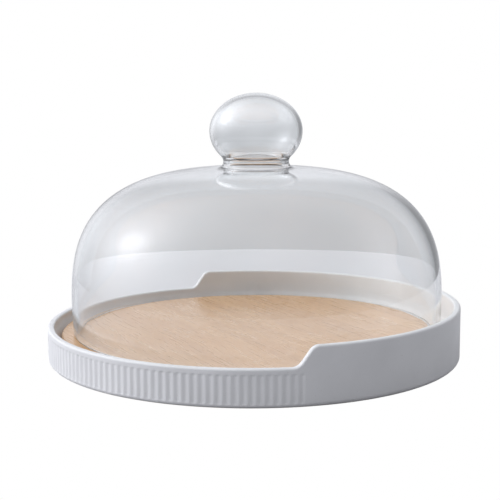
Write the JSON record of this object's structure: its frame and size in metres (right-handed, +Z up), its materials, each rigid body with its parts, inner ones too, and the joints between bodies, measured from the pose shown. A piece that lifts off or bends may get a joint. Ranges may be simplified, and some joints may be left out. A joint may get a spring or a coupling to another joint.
{
  "type": "cheese dome",
  "caption": "Clear glass dome with a hollow ball knob over a round wooden board that lies in a white ceramic tray with a stepped, partly fluted rim.",
  "frame": {"origin": "on the tray's axis, at the plane that its foot ring stands on", "axes": "+Z up along the tray's axis; -Y is the front, where one of the two rim steps is; the plain high half of the rim faces +X, turned 15.5 degrees towards +Y"},
  "size_m": [0.265, 0.265, 0.1685],
  "materials": {
    "ceramic": "satin white glaze",
    "wood": "light wood, oiled",
    "glass": "clear blown glass"
  },
  "bodies": {
    "tray": {"tray": "ceramic"},
    "board": {"board_stave_1": "wood", "board_stave_2": "wood", "board_stave_3": "wood", "board_stave_4": "wood", "board_stave_5": "wood", "board_stave_6": "wood", "board_stave_7": "wood"},
    "cover": {"glass_dome": "glass", "glass_knob": "glass"}
  },
  "joints": [
    {"name": "board_lift", "type": "slide", "parent": "tray", "child": "board", "axis": [0, 0, 1], "range_m": [0, 0.05]},
    {"name": "cover_lift", "type": "slide", "parent": "board", "child": "cover", "axis": [0, 0, 1], "range_m": [0, 0.12]}
  ]
}
